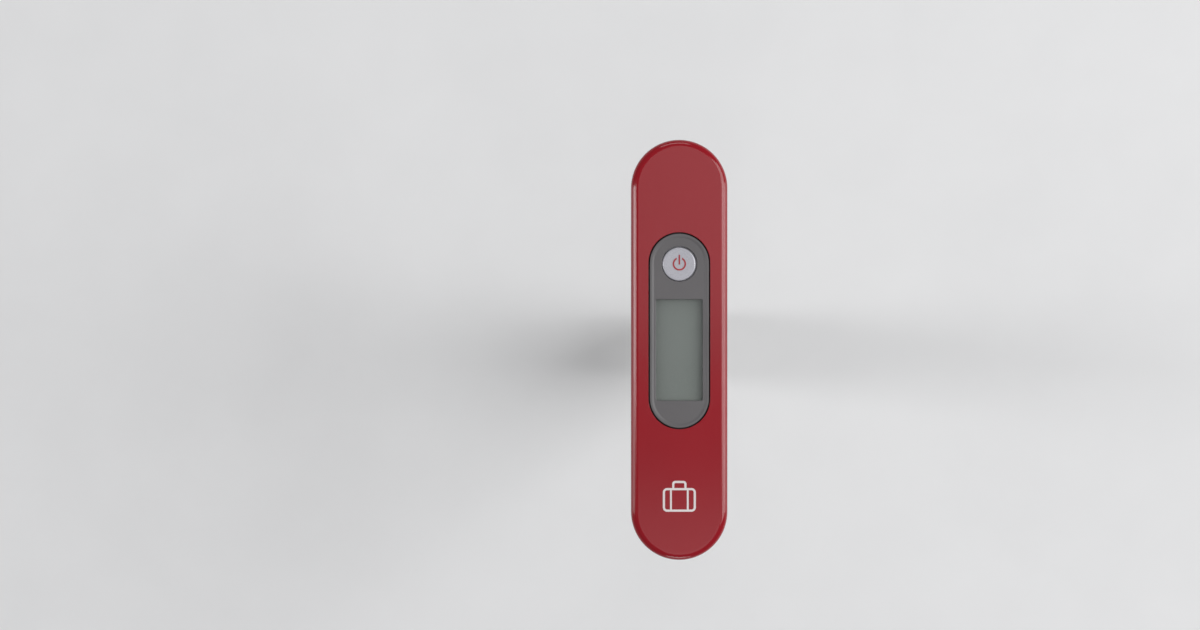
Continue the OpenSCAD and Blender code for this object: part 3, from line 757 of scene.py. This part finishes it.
def ring():
    leg, apex_r, cr, cy = 32.5, 4.0, 2.0, 12.85
    pts = []
    for i in range(29):
        a = math.radians(leg + (180 - 2 * leg) * i / 28)
        pts.append((apex_r * math.cos(a), RING_H - apex_r + apex_r * math.sin(a), a))
    for s, a0 in ((-1, 180 - leg), (1, 270)):
        for i in range(21):
            a = math.radians(a0 + (90 + leg) * i / 20)
            pts.append((s * cy + cr * math.cos(a), cr + cr * math.sin(a), a))
    # points along the straights
    full = []
    for i, p in enumerate(pts):
        q = pts[(i + 1) % len(pts)]
        full.append(p)
        d = math.dist(p[:2], q[:2])
        if d > 3:
            for k in range(1, 12):
                full.append((p[0] + (q[0] - p[0]) * k / 12, p[1] + (q[1] - p[1]) * k / 12, p[2] if i != len(pts) - 1 else p[2]))
    m = 40
    loops = []
    for y, z, a in full:
        loops.append([(1.4 * math.sin(2 * math.pi * j / m), y + 1.4 * math.cos(2 * math.pi * j / m) * math.cos(a), BAR_Z + z + 1.4 * math.cos(2 * math.pi * j / m) * math.sin(a)) for j in range(m)])
    return make("wire_ring", [loft(loops, ring=True)], 50)


# ---------------------------------------------------------------- webbing

def smooth01(t):
    t = min(max(t, 0.0), 1.0)
    return (1 - math.cos(math.pi * t)) / 2


def strap_path(step=0.8):
    """middle line of the strip (x, z from the bar's middle), from the tail's end to the sewn end of the loop"""
    c, R, L = 0.73, 2.42, 11.7
    raw = []
    z = -29.0
    while z < 0:
        raw.append((c + (R - c) * smooth01((z + 9.5) / 9.5), z))
        z += 0.25
    for i in range(1, 49):
        a = math.pi * i / 49
        raw.append((R * math.cos(a), R * math.sin(a)))
    z = 0.0
    while z > -29.2:
        raw.append((-(c + (R - c) * smooth01((z + 9.5) / 9.5)), z))
        z -= 0.25
    while z > -77.5:
        raw.append((-c * (1 - smooth01((-29.2 - z) / 4.5)), z))
        z -= 0.25
    while z > -NECK_END:
        raw.append((-c * smooth01((-77.5 - z) / 3.5), z))
        z -= 0.25
    side = lambda u: c + (L - c) * smooth01(u)
    n = 200
    for i in range(n):
        u = i / n
        raw.append((-side(u), -(NECK_END + LOOP_LEN * u)))
    for i in range(120):
        a = math.pi * i / 120
        raw.append((-L * math.cos(a), -(NECK_END + LOOP_LEN) - L * math.sin(a)))
    for i in range(n):
        u = 1 - i / n
        raw.append((side(u), -(NECK_END + LOOP_LEN * u)))
    z = -NECK_END
    while z < -NECK:
        raw.append((c, z))
        z += 0.25
    raw.append((c, -NECK))
    # even spacing
    d = [0.0]
    for a, b in zip(raw, raw[1:]):
        d.append(d[-1] + math.dist(a, b))
    n = int(d[-1] / step)
    out, k = [], 0
    for i in range(n + 1):
        s = d[-1] * i / n
        while k < len(d) - 2 and d[k + 1] < s:
            k += 1
        t = (s - d[k]) / max(1e-9, d[k + 1] - d[k])
        out.append((raw[k][0] + (raw[k + 1][0] - raw[k][0]) * t, raw[k][1] + (raw[k + 1][1] - raw[k][1]) * t))
    return out, d[-1]


STRAP_LEN = 0.0


def webbing():
    global STRAP_LEN
    path, STRAP_LEN = strap_path()
    half_w, half_t, ribs = 12.42, 0.66, 11
    n = 88
    # across the strip: a ribbed face, a thicker rounded edge, and back
    sec = []
    for i in range(n + 1):
        v = -1 + 2 * i / n
        y = v * (half_w - 0.45)
        edge = min(1.0, (1 - abs(v)) / 0.10)
        rib = 0.5 - 0.5 * math.cos(2 * math.pi * (y + half_w) * ribs / (2 * half_w))
        h = half_t - 0.20 + 0.20 * (rib ** 0.6) * edge + 0.16 * (1 - edge)
        sec.append((y, h))
    edge_r = sec[-1][1]
    cap = [(half_w - 0.45 + 0.45 * math.sin(math.radians(a)), edge_r * math.cos(math.radians(a))) for a in (22, 45, 67, 90, 113, 135, 158)]
    cross = sec + cap + [(y, -h) for y, h in reversed(sec)] + [(-y, -h) for y, h in cap]
    m, k = len(cross), len(path)
    verts, faces, uvs = [], [], []
    for i, (x, z) in enumerate(path):
        a, b = path[max(i - 1, 0)], path[min(i + 1, k - 1)]
        tx, tz = b[0] - a[0], b[1] - a[1]
        l = math.hypot(tx, tz)
        nx, nz = -tz / l, tx / l
        s = STRAP_LEN * i / (k - 1)
        # slight unevenness of a soft strip: never moves a face by more than 0.05 mm
        wob = 0.05 * math.sin(s * 0.9) * math.sin(s * 0.13)
        for y, h in cross:
            verts.append(((x + nx * h) * MM, (y + wob * (abs(y) / 12)) * MM, (BAR_Z + z + nz * h) * MM))
            uvs.append((s * MM, (y + half_w) * MM))
    for i in range(k - 1):
        for j in range(m):
            q = (j + 1) % m
            faces.append((i * m + j, (i + 1) * m + j, (i + 1) * m + q, i * m + q))
    faces.append(tuple(range(m)))
    faces.append(tuple(range(k * m - 1, (k - 1) * m - 1, -1)))
    me = bpy.data.meshes.new("webbing_strap")
    me.from_pydata(verts, [], faces)
    me.validate()
    layer = me.uv_layers.new(name="UVMap")
    for lp in me.loops:
        layer.data[lp.index].uv = uvs[lp.vertex_index]
    bm = bmesh.new()
    bm.from_mesh(me)
    bmesh.ops.recalc_face_normals(bm, faces=bm.faces)
    for f in bm.faces:
        f.smooth = True
    bm.to_mesh(me)
    bm.free()
    me.set_sharp_from_angle(angle=math.radians(60))
    return link("webbing_strap", me)


def stitches(name, lines, side_x, pitch=2.2, r=0.24, skip=0.55):
    """runs of short sunk threads on both faces; lines: ((y, s), (y, s)) with s the distance below the bar"""
    parts = []
    for (ya, sa), (yb, sb) in lines:
        d = math.dist((ya, sa), (yb, sb))
        n = max(1, round(d / pitch))
        for k in range(n):
            t0, t1 = (k + skip / 2 / pitch) / n, (k + 1 - skip / 2 / pitch) / n
            for sx in (-1, 1):
                pts = []
                for i in range(5):
                    t = t0 + (t1 - t0) * i / 4
                    dip = 0.16 * abs(2 * i / 4 - 1) ** 2.5
                    pts.append((sx * (side_x - dip), ya + (yb - ya) * t, BAR_Z - (sa + (sb - sa) * t)))
                parts.append(tube(pts, r, 8))
    return make(name, parts, 60)


# ---------------------------------------------------------------- build and dress

dress(cover(), "red", "housing", ["top_cover"])
posts = dress(cover_posts(), "red", "housing")
dress(lower_shell(), "hull", "housing", ["bottom_shell"])
dress(door(), "hull", "door", ["battery_door"])
dress(bezel(), "bezel", "housing", ["bezel_panel"])
# the black ring in the cover-bezel gap is painted shade, dressed in the grommet's black rubber
dress(gap_shade_ring(), "rubber", "housing")
dress(slab("display_lens", 16.6, 34.1, 1.0, 4.1, 5.0, 0.1), "lens", "housing", ["lens_window"])
dress(lcd(), "lcd", "housing", ["lcd_glass"])
dress(button(), "pearl", "button", ["button_cap"])
dress(eye(), "chrome", "housing", ["load_eye"])
dress(grommet(), "rubber", "housing", ["eye_grommet"])
wire_ring = dress(ring(), "ring", "ring", ["triangle_ring"])

strap = dress(webbing(), "webbing", None, ["strap_fold", "strap_loop"])
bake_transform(strap)

w = 10.6
fold_seam = dress(stitches("fold_seam", [((-w, 27.6), (w, 27.6)), ((-w, 24.6), (w, 24.6))], 1.39), "thread", "strap_upper", ["fold_stitching"])
box = [((-w, 80.8), (w, 80.8)), ((w, 80.8), (w, 91.2)), ((w, 91.2), (-w, 91.2)), ((-w, 91.2), (-w, 80.8)), ((-w + 0.9, 81.6), (w - 0.9, 90.4)), ((w - 0.9, 81.6), (-w + 0.9, 90.4))]
loop_seam = dress(stitches("neck_seam", box, 1.39), "thread", "strap_lower", ["loop_stitching"])

CAD_LOOKS = {
    "lcd_light_guide": "guide", "zebra_strips": "zebra", "main_pcb": "pcb", "pcb_components": "resin",
    "tact_switch": "tin", "switch_plunger": "resin", "button_icon": "icon", "face_mark": "mark",
    "housing_screws": "screw", "pcb_screws": "screw", "load_cell_screws": "screw", "load_cell_beam": "beam",
    "strain_gauges": "foil", "gauge_wires": "wire", "eye_nut": "screw", "battery_cell": "cell",
    "battery_contacts": "contact", "battery_wires": "wire_red",
}
for name, key in CAD_LOOKS.items():
    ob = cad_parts[name]
    if not ob.material_slots:
        ob.data.materials.append(M[key])
    for s in ob.material_slots:
        s.material = M[key]
    if name not in ("face_mark", "button_icon", "strain_gauges"):
        bev = ob.modifiers.new("edge", "BEVEL")
        bev.width, bev.segments, bev.limit_method, bev.angle_limit = 0.00008, 2, "ANGLE", math.radians(40)
        bev.harden_normals = False


# ---------------------------------------------------------------- floor, light, world

me = bpy.data.meshes.new("floor")
s = 6.0
me.from_pydata([(-s, -s, -0.216), (s, -s, -0.216), (s, s, -0.216), (-s, s, -0.216)], [], [(0, 1, 2, 3)])
floor = link("floor", me)
floor.data.materials.append(M["floor"])


def panel(name, loc, target, size, power, size_y=None):
    d = bpy.data.lights.new(name, "AREA")
    d.shape = "RECTANGLE"
    d.size, d.size_y = size, size_y or size
    d.energy = power
    o = bpy.data.objects.new(name, d)
    scene.collection.objects.link(o)
    o.location = loc
    o.rotation_mode = "QUATERNION"
    o.rotation_quaternion = (Vector(target) - Vector(loc)).to_track_quat("-Z", "Y")
    o.visible_camera = False
    return o


# overhead softbox in two fields, for an even sheen on the flat face; its left edge ends over the body,
# so the start of the cover's left edge radius reflects the darker room
panel("soft_top", (0.26, 0.31, 1.7), (0.26, 0.31, 0), 0.60, 1.30, 0.66)
panel("soft_low", (0.20, -0.60, 1.7), (0.20, -0.60, 0), 0.80, 2.30, 0.94)
# the key: one large panel from the right, from near the softbox down to the horizon
panel("key_right", (1.10, 0.25, 0.95), (0, 0, 0), 1.15, 13.6, 1.15)
# a narrower panel on the left: the bright line along the cover's edge radius
panel("left", (-1.08, 0.05, 0.82), (0, 0, 0), 0.20, 3.9, 1.2)
panel("left_low", (-1.35, 0.0, 0.30), (0, 0, 0), 0.34, 2.6, 1.2)
panel("right_high", (0.86, 0.10, 1.42), (0, 0, 0), 0.34, 1.6, 0.9)
panel("right_low", (1.35, 0.05, 0.22), (0, 0, 0.02), 0.40, 3.4, 1.1)
panel("far_end", (-0.1, 1.4, 0.70), (0, 0, 0), 0.9, 3.2, 0.30)
panel("near_end", (0.0, -1.5, 0.25), (0, 0, 0), 0.7, 3.2, 0.25)

world = bpy.data.worlds.new("world")
scene.world = world
world.use_nodes = True
world.node_tree.nodes["Background"].inputs["Color"].default_value = (0.93, 0.94, 0.96, 1)
world.node_tree.nodes["Background"].inputs["Strength"].default_value = 0.20
scene.view_settings.view_transform = "Standard"
